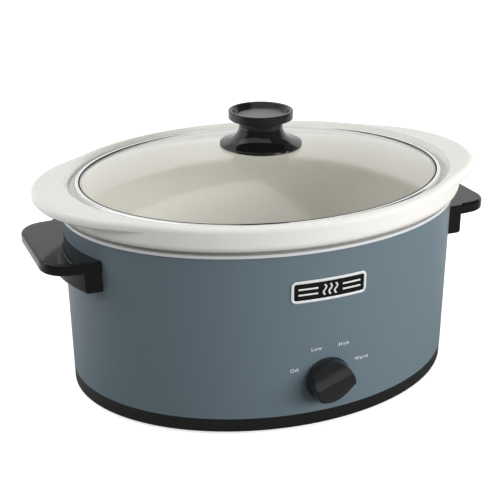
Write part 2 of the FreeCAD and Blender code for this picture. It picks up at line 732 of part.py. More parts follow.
# ------------------------------------------------------------------- lid knob
cap_z = GLASS_TOP + NECK_TOP
cap_top = cap_z + CAP_HEIGHT
dish_z = cap_top - DISH_DEPTH
flare_z = GLASS_TOP + 0.6
insert_z = GLASS_TOP + INSERT_LIFT


def make_lid_knob():
    """A flared foot on the glass, a waist, and a dished cap."""
    knob = turned([
        (0, flare_z - FLARE_EDGE), (FLARE_RADIUS, flare_z - FLARE_EDGE),
        (FLARE_RADIUS, flare_z, 0.7), (NECK_RADIUS, flare_z + FLARE_SLOPE, FLARE_CURVE),
        (NECK_RADIUS, cap_z, 1.5), (CAP_RADIUS, cap_z, 1.2), (CAP_RADIUS, cap_top, 0.9),
        (CAP_RADIUS - CAP_RIM, cap_top, 0.9), (DISC_RADIUS + 1.2, dish_z, 2.5),
        (DISC_RADIUS, dish_z), (DISC_RADIUS, dish_z - DISC_WALL), (0, dish_z - DISC_WALL)])
    knob = knob.cut(dome_solid())
    knob = knob.cut(rod(INSERT_RADIUS, V(0, 0, insert_z), UP, INSERT_LENGTH))
    return knob.cut(rod(GLASS_HOLE, V(0, 0, GLASS_TOP - 3), UP, INSERT_LIFT + 4))


save("lid_knob", make_lid_knob())
save("lid_knob_disc", rod(DISC_RADIUS, V(0, 0, dish_z - DISC_WALL), UP, DISC_WALL))
insert = rod(INSERT_RADIUS, V(0, 0, insert_z), UP, INSERT_LENGTH)
save("lid_knob_insert", insert.cut(
    rod(LID_SCREW_RADIUS, V(0, 0, insert_z - 1), UP, INSERT_LENGTH + 2)))
under_glass = GLASS_TOP - GLASS_WALL
washer_low = under_glass - LID_WASHER_WALL
lid_washer = rod(LID_WASHER_RADIUS, V(0, 0, washer_low), UP, LID_WASHER_WALL)
lid_washer = lid_washer.cut(lid_glass).cut(rod(LID_SCREW_RADIUS, V(0, 0, washer_low - 1), UP, 5))
save("lid_knob_washer", lid_washer)
screw = turned([(0, washer_low - 3.0), (LID_SCREW_HEAD, washer_low - 3.0, 1.6),
                (LID_SCREW_HEAD, washer_low), (LID_SCREW_RADIUS, washer_low),
                (LID_SCREW_RADIUS, GLASS_TOP + LID_SCREW_REACH),
                (0, GLASS_TOP + LID_SCREW_REACH)])
for angle in (0, 90):
    cross = block(-2.4, 2.4, -0.5, 0.5, washer_low - 4, washer_low - 1.6)
    cross.rotate(V(0, 0, 0), UP, angle)
    screw = screw.cut(cross)
save("lid_knob_screw", screw)


# -------------------------------------------------------------------- handles
def make_handle():
    """The right-hand handle: mounting pad and grip plate, hollow under the grip."""
    foot_z = HANDLE_Z - HANDLE_DROP
    root = casing_x(HANDLE_ROOT_WIDTH, foot_z, HANDLE_BITE)
    pad_form = oval(grown(casing_size(foot_z), PAD_DEPTH), grown(casing_size(foot_z), PAD_DEPTH),
                    foot_z, HANDLE_Z)
    pad = pad_form.common(block(root, 2 * casing_top[0], -PAD_HALF_WIDTH, PAD_HALF_WIDTH,
                                foot_z, HANDLE_Z))
    corners = edges_where(pad, lambda box: box.XMax > root + 1
                          and abs(box.YMin + box.YMax) > 1
                          and (box.ZLength > HANDLE_DROP - 1 or box.ZMax < foot_z + 0.01))
    pad = pad.makeFillet(PAD_EDGE, corners)
    plate = slab([(root, -HANDLE_ROOT_WIDTH), (handle_reach, -HANDLE_TIP_WIDTH, HANDLE_CORNER),
                  (handle_reach, HANDLE_TIP_WIDTH, HANDLE_CORNER), (root, HANDLE_ROOT_WIDTH)],
                 HANDLE_Z - HANDLE_PLATE, HANDLE_Z)
    round_edges = edges_where(plate, lambda box: box.XMax > root + 1 and box.ZLength < 0.01)
    plate = plate.makeFillet(HANDLE_EDGE, round_edges)
    handle = plate.fuse(pad).cut(outer_solid)
    near = casing_size(foot_z)[0] + PAD_DEPTH + POCKET_WALL
    far = handle_reach - POCKET_WALL
    half = HANDLE_TIP_WIDTH - HANDLE_CORNER / 2
    pocket = slab([(near, -half, POCKET_CORNER), (far, -half, POCKET_CORNER),
                   (far, half, POCKET_CORNER), (near, half, POCKET_CORNER)],
                  HANDLE_Z - HANDLE_PLATE - 1, HANDLE_Z - POCKET_ROOF)
    handle = handle.cut(pocket)
    for y in (-BOSS_Y, BOSS_Y):
        boss = rod(BOSS_RADIUS, V(boss_face, y, boss_z), V(1, 0, 0), PAD_DEPTH)
        handle = handle.fuse(boss)
    for y in (-BOSS_Y, BOSS_Y):
        tip = boss_face - HANDLE_WASHER_WALL
        handle = handle.cut(rod(HANDLE_SCREW_RADIUS, V(tip, y, boss_z), V(1, 0, 0),
                                HANDLE_SCREW_LENGTH))
    return handle


handle_right = make_handle()
save("handle_right", handle_right)
save("handle_left", mirrored_x(handle_right))

screws = []
washers = []
for side, y in handle_boss_places():
    seat = boss_face - HANDLE_WASHER_WALL
    out = V(side, 0, 0)
    shank = rod(HANDLE_SCREW_RADIUS, V(side * seat, y, boss_z), out, HANDLE_SCREW_LENGTH)
    head = rod(HANDLE_SCREW_HEAD, V(side * (seat - HANDLE_HEAD_HEIGHT), y, boss_z), out,
               HANDLE_HEAD_HEIGHT)
    screws.append(shank.fuse(head).removeSplitter())
    plate = rod(HANDLE_WASHER_RADIUS, V(side * seat, y, boss_z), out, HANDLE_WASHER_WALL)
    washers.append(plate.cut(rod(HANDLE_SCREW_RADIUS, V(side * (seat - 1), y, boss_z), out, 5)))
save("handle_screws", *screws)
save("handle_washers", *washers)


# ------------------------------------------------------------ dial and switch
dial_face = casing_size(DIAL_Z)[1]           # the casing's face, along -Y
dial_back = dial_face + DIAL_GAP


def make_dial():
    """A round dial: thin skirt, crown, and two scoops that leave a grip bar."""
    dial = turned([(0, 0), (DIAL_RADIUS, 0, 0.6), (DIAL_RADIUS, DIAL_SKIRT, 1.0),
                   (DIAL_CROWN_RADIUS, DIAL_SKIRT), (DIAL_CROWN_RADIUS - 1.2, DIAL_DEPTH, 2.4),
                   (0, DIAL_DEPTH + 0.01)])
    scoop_z = DIAL_SCOOP_FLOOR + DIAL_SCOOP_RADIUS
    scoop_y = DIAL_GRIP / 2 + math.sqrt(DIAL_SCOOP_RADIUS ** 2 - (scoop_z - DIAL_DEPTH) ** 2)
    for side in (-1, 1):
        dial = dial.cut(rod(DIAL_SCOOP_RADIUS, V(-2 * DIAL_RADIUS, side * scoop_y, scoop_z),
                            V(1, 0, 0), 4 * DIAL_RADIUS))
    dial = dial.cut(rod(DIAL_HOLLOW_RADIUS, V(0, 0, -1), UP, DIAL_HOLLOW_DEPTH + 1))
    hub = rod(SHAFT_RADIUS + DIAL_HUB_WALL,
              V(0, 0, BUSHING_REACH - DIAL_GAP + DIAL_HUB_LIFT), UP,
              DIAL_HOLLOW_DEPTH - BUSHING_REACH + DIAL_GAP)
    return dial.fuse(hub)


def stood_on_front(shape, y):
    """A shape built about Z, turned to point to the front from the dial's centre at y."""
    shape.rotate(V(0, 0, 0), V(1, 0, 0), 90)
    shape.translate(V(0, y, DIAL_Z))
    shape.rotate(V(0, 0, DIAL_Z), FRONT, DIAL_GRIP_ANGLE)
    return shape


shaft_tip = dial_back + SHAFT_IN_DIAL
shaft_root = dial_face - CASING_WALL - SWITCH_SET_BACK - SWITCH_DEPTH * SHAFT_ROOT
shaft_length = shaft_tip - shaft_root
flat_from = dial_back + BUSHING_REACH - DIAL_GAP + DIAL_HUB_LIFT - shaft_root
shaft = rod(SHAFT_RADIUS, V(0, 0, 0), UP, shaft_length)
shaft = shaft.cut(block(-10, 10, SHAFT_RADIUS - SHAFT_FLAT, 10, flat_from, shaft_length + 1))
shaft = stood_on_front(shaft, -shaft_root)
dial = stood_on_front(make_dial(), -dial_back).cut(shaft)
save("control_knob", dial)
save("switch_shaft", shaft)


def make_switch():
    """The switch: a moulded body on a shoulder that beds on the casing, and its bushing."""
    y0 = dial_face - CASING_WALL - SWITCH_SET_BACK
    body = block(-SWITCH_WIDTH / 2, SWITCH_WIDTH / 2, -y0, -y0 + SWITCH_DEPTH,
                 DIAL_Z - SWITCH_HEIGHT / 2, DIAL_Z + SWITCH_HEIGHT / 2)
    corners = edges_where(body, lambda box: box.YLength > SWITCH_DEPTH - 0.1)
    body = body.makeFillet(SWITCH_EDGE, corners)
    shoulder = rod(SWITCH_SHOULDER, V(0, -y0 + 1, DIAL_Z), FRONT, SWITCH_SET_BACK + 6)
    shoulder = shoulder.common(inner_solid)
    bushing = rod(BUSHING_RADIUS, V(0, -y0 + 1, DIAL_Z), FRONT,
                  SWITCH_SET_BACK + CASING_WALL + BUSHING_REACH + 1)
    switch = body.fuse(shoulder).fuse(bushing)
    bore = rod(SHAFT_RADIUS + SHAFT_FIT, V(0, -shaft_root + 0.3, DIAL_Z), FRONT, 60)
    return switch.cut(bore)


switch_body = save("rotary_switch", make_switch())
nut = hexagon(NUT_ACROSS, V(0, -dial_face + 2, DIAL_Z), FRONT, NUT_WALL + 2)
nut = nut.cut(rod(BUSHING_RADIUS, V(0, -dial_face + 5, DIAL_Z), FRONT, 20)).cut(outer_solid)
save("switch_nut", nut)
blades = []
blade_y = -(dial_face - CASING_WALL - SWITCH_SET_BACK) + SWITCH_DEPTH
for i in range(BLADE_COUNT):
    x = (i - (BLADE_COUNT - 1) / 2) * BLADE_PITCH
    blades.append(block(x - BLADE_WIDTH / 2, x + BLADE_WIDTH / 2, blade_y,
                        blade_y + BLADE_LENGTH, DIAL_Z - 6, DIAL_Z - 6 + BLADE_WALL))
save("switch_terminals", *blades)


# ------------------------------------------------------------------ nameplate
def plate_slab(inset, proud):
    """A rounded rectangle that stands proud of the casing's curve."""
    w, h = PLATE_WIDTH / 2 - inset, PLATE_HEIGHT / 2 - inset
    corner = PLATE_CORNER - inset * 0.75
    face = Part.Face(outline([(-w, -h, corner), (w, -h, corner), (w, h, corner),
                              (-w, h, corner)], lambda u, v: V(u, 0, PLATE_Z + v)))
    prism = face.extrude(V(0, -2 * CASING_TOP_B, 0))
    return prism.common(casing_solid(-proud)).cut(outer_solid)


frame = plate_slab(0, PLATE_PROUD).cut(plate_slab(PLATE_FRAME, PLATE_PROUD + 1))
save("nameplate_frame", frame)
save("nameplate_inlay", plate_slab(PLATE_FRAME, PLATE_FIELD))


# ----------------------------------------------------- cord gland, terminals
def make_gland():
    """A bush through the casing's back: flange outside, snout, tail inside."""
    face = casing_size(GLAND_Z)[1]
    back = V(0, 1, 0)
    flange = rod(GLAND_FLANGE, V(0, face - 3, GLAND_Z), back, GLAND_FLANGE_WALL + 3)
    flange = flange.cut(outer_solid)
    body = rod(GLAND_BODY, V(0, face - CASING_WALL - GLAND_TAIL, GLAND_Z), back,
               CASING_WALL + GLAND_TAIL + 0.5)
    tail = rod(GLAND_BODY + 1.6, V(0, face - CASING_WALL - GLAND_TAIL, GLAND_Z), back,
               GLAND_TAIL + 2).common(inner_solid)
    snout = rod(GLAND_SNOUT_RADIUS, V(0, face, GLAND_Z), back, GLAND_FLANGE_WALL + GLAND_SNOUT)
    gland = flange.fuse(body).fuse(tail).fuse(snout)
    return gland.cut(rod(GLAND_BORE, V(0, face - 30, GLAND_Z), back, 60))


save("cord_gland", make_gland())


def make_block():
    """A terminal block on the base floor, with an entry hole for each pole."""
    z0 = FLOOR_TOP
    y1 = casing_low[1] - BLOCK_BACK
    body = block(-BLOCK_LENGTH / 2, BLOCK_LENGTH / 2, y1 - BLOCK_DEPTH, y1,
                 z0, z0 + BLOCK_HEIGHT)
    pitch = BLOCK_LENGTH / BLOCK_POLES
    for i in range(BLOCK_POLES):
        x = (i - (BLOCK_POLES - 1) / 2) * pitch
        body = body.cut(rod(BLOCK_HOLE, V(x, y1 - BLOCK_DEPTH - 1, z0 + BLOCK_HEIGHT / 2),
                            V(0, 1, 0), BLOCK_DEPTH + 2))
    return body


save("terminal_block", make_block())
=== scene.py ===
# %% [markdown]
# # An oval slow cooker, finished piece by piece
#
# The design was made as exact solids: this script loads them as a frame that never moves, and
# gives every visible piece its surface and its finish. Most pieces of this object are ovals with
# a profile carried round them, so one small set of tools makes nearly all of it.

# %% Load the frame
import math

import bpy
import numpy as np
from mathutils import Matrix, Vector


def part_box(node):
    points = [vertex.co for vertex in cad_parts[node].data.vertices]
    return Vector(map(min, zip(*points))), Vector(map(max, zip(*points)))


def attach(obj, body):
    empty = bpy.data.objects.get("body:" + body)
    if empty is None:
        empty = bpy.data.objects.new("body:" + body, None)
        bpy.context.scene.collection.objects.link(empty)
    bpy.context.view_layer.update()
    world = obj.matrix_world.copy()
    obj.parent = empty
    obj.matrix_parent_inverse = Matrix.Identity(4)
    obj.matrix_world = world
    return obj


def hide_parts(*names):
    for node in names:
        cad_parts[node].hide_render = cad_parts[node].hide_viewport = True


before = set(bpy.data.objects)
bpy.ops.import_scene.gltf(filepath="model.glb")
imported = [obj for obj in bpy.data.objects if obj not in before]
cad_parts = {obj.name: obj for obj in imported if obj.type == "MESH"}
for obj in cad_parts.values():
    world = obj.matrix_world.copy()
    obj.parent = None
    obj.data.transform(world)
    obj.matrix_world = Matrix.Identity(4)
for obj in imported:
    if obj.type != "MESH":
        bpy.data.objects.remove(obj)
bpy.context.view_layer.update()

MM = 0.001

# %% [markdown]
# ## Tools for surfaces
#
# A surface here is a stack of rings. Each ring is a closed loop of the same number of points, and
# neighbouring rings are joined by four-sided faces. Rings run anticlockwise seen from above and
# the stack runs up the outside and down the inside, so the faces point outwards by themselves.
# The whole stack is one array, which is handed to the mesh in one go.

# %% From rings to a mesh
def mesh_from(name, points, quads, triangles=()):
    """A smooth-shaded mesh from arrays of points, four-sided faces and three-sided faces."""
    triangles = np.asarray(triangles, int).reshape(-1, 3)
    corners = np.concatenate([quads.ravel(), triangles.ravel()])
    sides = np.concatenate([np.full(len(quads), 4), np.full(len(triangles), 3)])
    mesh = bpy.data.meshes.new(name)
    mesh.vertices.add(len(points))
    mesh.vertices.foreach_set("co", np.asarray(points, float).ravel())
    mesh.loops.add(len(corners))
    mesh.loops.foreach_set("vertex_index", corners)
    mesh.polygons.add(len(sides))
    mesh.polygons.foreach_set("loop_start", np.concatenate([[0], np.cumsum(sides)[:-1]]))
    mesh.update(calc_edges=True)
    mesh.polygons.foreach_set("use_smooth", np.ones(len(sides), bool))
    return mesh


def skin(name, rings, start="open", end="open"):
    """An object whose surface joins each ring (row) to the next.

    start and end say what closes the stack: "open", "pole" (a fan to the ring's middle) or, for
    both together, "loop", where the last ring joins the first again.
    """
    rows, count = rings.shape[:2]
    points = rings.reshape(-1, 3)
    spans = rows if start == "loop" else rows - 1
    k = np.arange(spans)[:, None]
    n = np.arange(count)[None, :]
    after, ahead = (k + 1) % rows, (n + 1) % count
    quads = np.stack(np.broadcast_arrays(k * count + n, k * count + ahead,
                                         after * count + ahead, after * count + n), -1)
    triangles = []
    for which, row, flip in ((start, 0, True), (end, rows - 1, False)):
        if which != "pole":
            continue
        ring = row * count + np.arange(count)
        turn = np.roll(ring, -1)
        middle = np.full(count, len(points))
        points = np.vstack([points, rings[row].mean(axis=0)])
        order = (middle, turn, ring) if flip else (middle, ring, turn)
        triangles.append(np.stack(order, -1))
    triangles = np.concatenate(triangles) if triangles else ()
    piece = bpy.data.objects.new(name, mesh_from(name, points, quads.reshape(-1, 4), triangles))
    bpy.context.scene.collection.objects.link(piece)
    return piece


# %% A profile with rounded corners
def profile(corners, loop=False, arc_step=11.0, hold=0.22):
    """Straight runs between corners (u, v, r), each corner rounded to radius r.

    An arc of radius r touches both runs at r / tan(half the corner's angle) from the corner and
    is cut into steps of about arc_step degrees. Each straight run gets a point a little way in
    from both ends (the share hold of the neighbouring radius), which keeps flat parts flat when
    the shading is smooth. Returns an array of (u, v).
    """
    spots = np.array([c[:2] for c in corners], float)
    radii = np.array([c[2] if len(c) > 2 else 0.0 for c in corners], float)
    total = len(spots)
    out = []
    for i in range(total):
        here, r = spots[i], radii[i]
        if r <= 0 or (not loop and i in (0, total - 1)):
            out.append(here[None])
            continue
        ways = [spots[i - 1] - here, spots[(i + 1) % total] - here]
        runs = [np.linalg.norm(w) for w in ways]
        ways = [w / size for w, size in zip(ways, runs)]
        half = math.acos(np.clip(ways[0] @ ways[1], -1, 1)) / 2
        reach = r / math.tan(half)
        middle = ways[0] + ways[1]
        centre = here + middle / np.linalg.norm(middle) * r / math.sin(half)
        first, last = here + ways[0] * reach, here + ways[1] * reach
        a0 = math.atan2(*(first - centre)[::-1])
        turn = (math.atan2(*(last - centre)[::-1]) - a0 + math.pi) % (2 * math.pi) - math.pi
        steps = max(2, int(abs(math.degrees(turn)) / arc_step))
        angle = a0 + turn * np.linspace(0, 1, steps + 1)
        arc = centre + r * np.stack([np.cos(angle), np.sin(angle)], -1)
        guard = [first + ways[0] * min(r * hold, max(runs[0] - reach, 0) / 3),
                 last + ways[1] * min(r * hold, max(runs[1] - reach, 0) / 3)]
        out.append(np.vstack([guard[0], arc, guard[1]]))
    line = np.vstack(out)
    keep = np.linalg.norm(np.diff(line, axis=0), axis=1) > 1e-7
    return line[np.concatenate([[True], keep])]


# %% Rings round an oval
ROUND = 360


def oval_rings(line, half_length, half_width, count=ROUND):
    """Rings of an oval: x = (A + d) cos t, y = (B + d) sin t, z, for each (d, z) of the line."""
    t = np.linspace(0, 2 * math.pi, count, endpoint=False)
    d, z = line[:, 0, None], line[:, 1, None]
    return np.stack(np.broadcast_arrays((half_length + d) * np.cos(t),
                                        (half_width + d) * np.sin(t), z), -1)


def between(low, high, share):
    """The value that lies the given share of the way from low to high."""
    return low + (high - low) * share


# %% [markdown]
# ## Tools for finishes
#
# A moulded part shows a fine texture, an enamelled part shows flake and a slight orange peel, a
# handled part shows smudges that change how it shines. These effects are groups with named
# inputs, so that each material sets its own scale and strength. They read object coordinates in
# metres, so a grain of half a millimetre is half a millimetre on every piece.

# %% Node helpers
def add_node(tree, kind, inputs=None, **settings):
    """A node of the given kind with its settings; inputs maps a socket to a value or a link."""
    node = tree.nodes.new(kind)
    for key, value in settings.items():
        setattr(node, key, value)
    for key, value in (inputs or {}).items():
        if isinstance(value, bpy.types.NodeSocket):
            tree.links.new(value, node.inputs[key])
        else:
            node.inputs[key].default_value = value
    return node


def add_group(name, inputs, outputs):
    """An empty shader group with named sockets: (name, kind, default or None)."""
    tree = bpy.data.node_groups.new(name, "ShaderNodeTree")
    for label, kind, value in inputs:
        socket = tree.interface.new_socket(label, in_out="INPUT", socket_type="NodeSocket" + kind)
        socket.default_value = value
    for label, kind in outputs:
        tree.interface.new_socket(label, in_out="OUTPUT", socket_type="NodeSocket" + kind)
    return tree, tree.nodes.new("NodeGroupInput"), tree.nodes.new("NodeGroupOutput")


def ramp(tree, value, start, end, low=0.0, high=1.0):
    """A smooth change from low to high as the value goes from start to end."""
    node = add_node(tree, "ShaderNodeMapRange", {"Value": value, "From Min": min(start, end),
                                                 "From Max": max(start, end)},
                    interpolation_type="SMOOTHSTEP")
    node.inputs["To Min"].default_value = low if start < end else high
    node.inputs["To Max"].default_value = high if start < end else low
    return node.outputs[0]


def calculate(tree, operation, *values):
    """One Math node on two or three values or links."""
    return add_node(tree, "ShaderNodeMath", dict(enumerate(values)), operation=operation).outputs[0]


# %% Handling: smudges that change the gloss
STREAKS_FINER = 7.3
BLOTCH_FROM, BLOTCH_TO = 0.14, 0.40


def make_smudges():
    """Roughness = base + strength x soft blotches (two sizes of noise multiplied)."""
    tree, given, out = add_group(
        "smudges",
        [("Base Roughness", "Float", 0.3), ("Strength", "Float", 0.1), ("Size", "Float", 0.03)],
        [("Roughness", "Float"), ("Mask", "Float")])
    where = add_node(tree, "ShaderNodeTexCoord")
    scale = add_node(tree, "ShaderNodeMath", {0: 1.0, 1: given.outputs["Size"]},
                     operation="DIVIDE")
    broad = add_node(tree, "ShaderNodeTexNoise", {"Vector": where.outputs["Object"],
                                                  "Scale": scale.outputs[0], "Detail": 4.0,
                                                  "Roughness": 0.55})
    fine = add_node(tree, "ShaderNodeMath", {0: scale.outputs[0], 1: STREAKS_FINER},
                    operation="MULTIPLY")
    streak = add_node(tree, "ShaderNodeTexNoise", {"Vector": where.outputs["Object"],
                                                   "Scale": fine.outputs[0], "Detail": 2.0})
    both = add_node(tree, "ShaderNodeMath", {0: broad.outputs["Fac"], 1: streak.outputs["Fac"]},
                    operation="MULTIPLY")
    mask = add_node(tree, "ShaderNodeMapRange", {"Value": both.outputs[0],
                                                 "From Min": BLOTCH_FROM,
                                                 "From Max": BLOTCH_TO})
    rough = add_node(tree, "ShaderNodeMath", {0: mask.outputs[0], 1: given.outputs["Strength"],
                                              2: given.outputs["Base Roughness"]},
                     operation="MULTIPLY_ADD")
    tree.links.new(rough.outputs[0], out.inputs["Roughness"])
    tree.links.new(mask.outputs[0], out.inputs["Mask"])
    return tree


smudges = make_smudges()


# %% Grain: a fine moulded or sprayed texture
def make_grain():
    """Height = fine noise at the grain's size, plus a broad wave, each with its own share."""
    tree, given, out = add_group(
        "grain",
        [("Grain Size", "Float", 0.0006), ("Wave Size", "Float", 0.02),
         ("Wave Share", "Float", 0.3)],
        [("Height", "Float"), ("Speckle", "Float")])
    where = add_node(tree, "ShaderNodeTexCoord")
    near = add_node(tree, "ShaderNodeMath", {0: 1.0, 1: given.outputs["Grain Size"]},
                    operation="DIVIDE")
    far = add_node(tree, "ShaderNodeMath", {0: 1.0, 1: given.outputs["Wave Size"]},
                   operation="DIVIDE")
    small = add_node(tree, "ShaderNodeTexNoise", {"Vector": where.outputs["Object"],
                                                  "Scale": near.outputs[0], "Detail": 2.0})
    large = add_node(tree, "ShaderNodeTexNoise", {"Vector": where.outputs["Object"],
                                                  "Scale": far.outputs[0], "Detail": 1.0})
    mix = add_node(tree, "ShaderNodeMix", {0: given.outputs["Wave Share"],
                                           2: small.outputs["Fac"], 3: large.outputs["Fac"]})
    tree.links.new(mix.outputs[0], out.inputs["Height"])
    tree.links.new(small.outputs["Fac"], out.inputs["Speckle"])
    return tree


grain = make_grain()


# %% One material from its parts
SPECKLE_FROM, SPECKLE_TO = 0.3, 0.7


def finish(name, color, roughness=0.4, vary=0.05, smudge_size=0.03, metallic=0.0, bump=0.0,
           grain_size=0.0006, wave_size=0.02, wave_share=0.3, tint=0.0, ior=1.5):
    """A material: smudged roughness, grain as bump, and a small colour change with the grain.

    bump is the relief's depth in metres; tint is how far the speckle lightens and darkens the
    colour. Everything that is the same all over is set on the shader's own sockets.
    """
    material = bpy.data.materials.new(name)
    material.use_nodes = True
    tree = material.node_tree
    shader = tree.nodes["Principled BSDF"]
    shader.inputs["Base Color"].default_value = (*color, 1.0)
    shader.inputs["Metallic"].default_value = metallic
    shader.inputs["IOR"].default_value = ior
    gloss = add_node(tree, "ShaderNodeGroup", node_tree=smudges)
    gloss.inputs["Base Roughness"].default_value = roughness
    gloss.inputs["Strength"].default_value = vary
    gloss.inputs["Size"].default_value = smudge_size
    tree.links.new(gloss.outputs["Roughness"], shader.inputs["Roughness"])
    if bump or tint:
        texture = add_node(tree, "ShaderNodeGroup", node_tree=grain)
        texture.inputs["Grain Size"].default_value = grain_size
        texture.inputs["Wave Size"].default_value = wave_size
        texture.inputs["Wave Share"].default_value = wave_share
    if bump:
        relief = add_node(tree, "ShaderNodeBump", {"Height": texture.outputs["Height"],
                                                   "Distance": bump, "Strength": 1.0})
        tree.links.new(relief.outputs["Normal"], shader.inputs["Normal"])
    if tint:
        spread = add_node(tree, "ShaderNodeMapRange",
                          {"Value": texture.outputs["Speckle"], "From Min": SPECKLE_FROM,
                           "From Max": SPECKLE_TO, "To Min": 1.0 - tint, "To Max": 1.0 + tint})
        shade = add_node(tree, "ShaderNodeMix", {0: 1.0, 6: (*color, 1.0),
                                                 7: spread.outputs[0]},
                         data_type="RGBA", blend_type="MULTIPLY")
        tree.links.new(shade.outputs[2], shader.inputs["Base Color"])
    return material


def dress(piece, material):
    """Put one material on a piece."""
    piece.data.materials.clear()
    piece.data.materials.append(material)
    return piece


# %% [markdown]
# ## The finishes of this cooker
#
# The casing is a blue-grey satin enamel with a slight orange peel. The plastics are black: glossy
# on the lid knob and the handles, a little softer on the dial, and fine-grained matt on the base.
# The crock is a cream glaze, glossy and slightly wavy. The well is satin metal, the lid's band is
# polished steel, and the small hardware inside is zinc plated or brass.
#
# Each could be painted as a picture, but a picture has one scale and shows its edges. Here every
# finish is one recipe with its own numbers: colour, gloss, how much handling has changed the
# gloss, and the depth and size of the grain.

# %% Mix the finishes
enamel = finish("casing enamel", (0.131, 0.179, 0.208), roughness=0.34, vary=0.05,
                smudge_size=0.09, bump=0.000012, grain_size=0.0012, wave_share=0.5, tint=0.05)
glaze = finish("cream glaze", (0.800, 0.788, 0.745), roughness=0.08, vary=0.07,
               smudge_size=0.05, bump=0.00008, grain_size=0.004, wave_size=0.03,
               wave_share=0.75, tint=0.02)
gloss_black = finish("glossy black", (0.008, 0.008, 0.0085), roughness=0.06, vary=0.06,
                     smudge_size=0.02, bump=0.00001, grain_size=0.003, wave_size=0.015,
                     wave_share=0.6, tint=0.04)
handle_black = finish("handle black", (0.006, 0.006, 0.0065), roughness=0.05, vary=0.05,
                      smudge_size=0.03, bump=0.000003, grain_size=0.0012, wave_share=0.3,
                      tint=0.05, ior=1.38)
dial_black = finish("dial black", (0.015, 0.015, 0.016), roughness=0.20, vary=0.08,
                    smudge_size=0.012, bump=0.000003, grain_size=0.0006, tint=0.05)
base_black = finish("base black", (0.010, 0.010, 0.0105), roughness=0.34, vary=0.10,
                    smudge_size=0.05, bump=0.00002, grain_size=0.0008, wave_share=0.1, tint=0.08)
rubber = finish("foot rubber", (0.02, 0.02, 0.02), roughness=0.75, vary=0.1,
                bump=0.00008, grain_size=0.0008, wave_share=0.1, tint=0.1)
bright_steel = finish("bright steel", (0.88, 0.88, 0.88), roughness=0.30, vary=0.10,
                      smudge_size=0.03, metallic=0.35, bump=0.00001, grain_size=0.002)
band_steel = finish("polished band", (0.95, 0.95, 0.95), roughness=0.05, vary=0.04,
                    smudge_size=0.02, metallic=1.0, bump=0.000008, grain_size=0.003)
zinc = finish("zinc steel", (0.50, 0.51, 0.52), roughness=0.35, vary=0.15, smudge_size=0.01,
              metallic=1.0, bump=0.00002, grain_size=0.0006, tint=0.08)
brass = finish("brass", (0.62, 0.45, 0.18), roughness=0.25, vary=0.12, smudge_size=0.01,
               metallic=1.0, bump=0.00001, grain_size=0.0006)
mica = finish("heater sleeving", (0.42, 0.34, 0.24), roughness=0.8, vary=0.1, bump=0.0003,
              grain_size=0.0015, wave_share=0.1, tint=0.2)
steatite = finish("steatite", (0.74, 0.70, 0.62), roughness=0.6, vary=0.1, bump=0.00005,
                  grain_size=0.0007, tint=0.05)
silicone = finish("silicone", (0.62, 0.61, 0.58), roughness=0.5, vary=0.1, bump=0.00002,
                  grain_size=0.001)
switch_grey = finish("switch body", (0.06, 0.06, 0.06), roughness=0.5, vary=0.1,
                     bump=0.00004, grain_size=0.0007, tint=0.08)
plate_black = finish("plate field", (0.003, 0.003, 0.003), roughness=0.22, vary=0.06,
                     smudge_size=0.008, bump=0.000002, grain_size=0.0006, tint=0.05, ior=1.4)
plate_silver = finish("plate silver", (0.93, 0.94, 0.94), roughness=0.24, vary=0.06,
                      smudge_size=0.005, metallic=0.30, bump=0.000004, grain_size=0.0005)
satin_disc = finish("satin disc", (0.27, 0.27, 0.272), roughness=0.42, vary=0.08,
                    smudge_size=0.01, metallic=0.4, bump=0.000008, grain_size=0.0005, tint=0.06)

# %% [markdown]
# ## The glass of the lid
#
# The lid is clear tempered glass, so the crock shows through it and the room shines off it. Plain
# alpha would lose both the bend of the light and the stronger shine at its far edge, so the shader
# refracts.

# %% Clear glass
GLASS_TINT = (0.94, 0.935, 0.90, 1.0)
SHADOW_TINT = (0.76, 0.765, 0.75, 1.0)


def make_glass():
    """Clear glass that lets light through to what stands under it.
    """
    material = bpy.data.materials.new("clear glass")
    material.use_nodes = True
    tree = material.node_tree
    shader = tree.nodes["Principled BSDF"]
    shader.inputs["Base Color"].default_value = GLASS_TINT
    shader.inputs["Transmission Weight"].default_value = 1.0
    shader.inputs["IOR"].default_value = 1.54
    gloss = add_node(tree, "ShaderNodeGroup", node_tree=smudges)
    gloss.inputs["Base Roughness"].default_value = 0.0
    gloss.inputs["Strength"].default_value = 0.03
    gloss.inputs["Size"].default_value = 0.05
    tree.links.new(gloss.outputs["Roughness"], shader.inputs["Roughness"])
    path = add_node(tree, "ShaderNodeLightPath")
    clear = add_node(tree, "ShaderNodeBsdfTransparent", {"Color": SHADOW_TINT})
    both = add_node(tree, "ShaderNodeMixShader", {0: path.outputs["Is Shadow Ray"],
                                                  1: shader.outputs[0], 2: clear.outputs[0]})
    tree.links.new(both.outputs[0], tree.nodes["Material Output"].inputs["Surface"])
    return material


glass = make_glass()

# %% [markdown]
# ## Which piece has which finish
#
# Most solids of the frame already have the right shape, with their rounds and their parting edges,
# so they stay and only take a finish. One table says which: it is easy to read and to change.

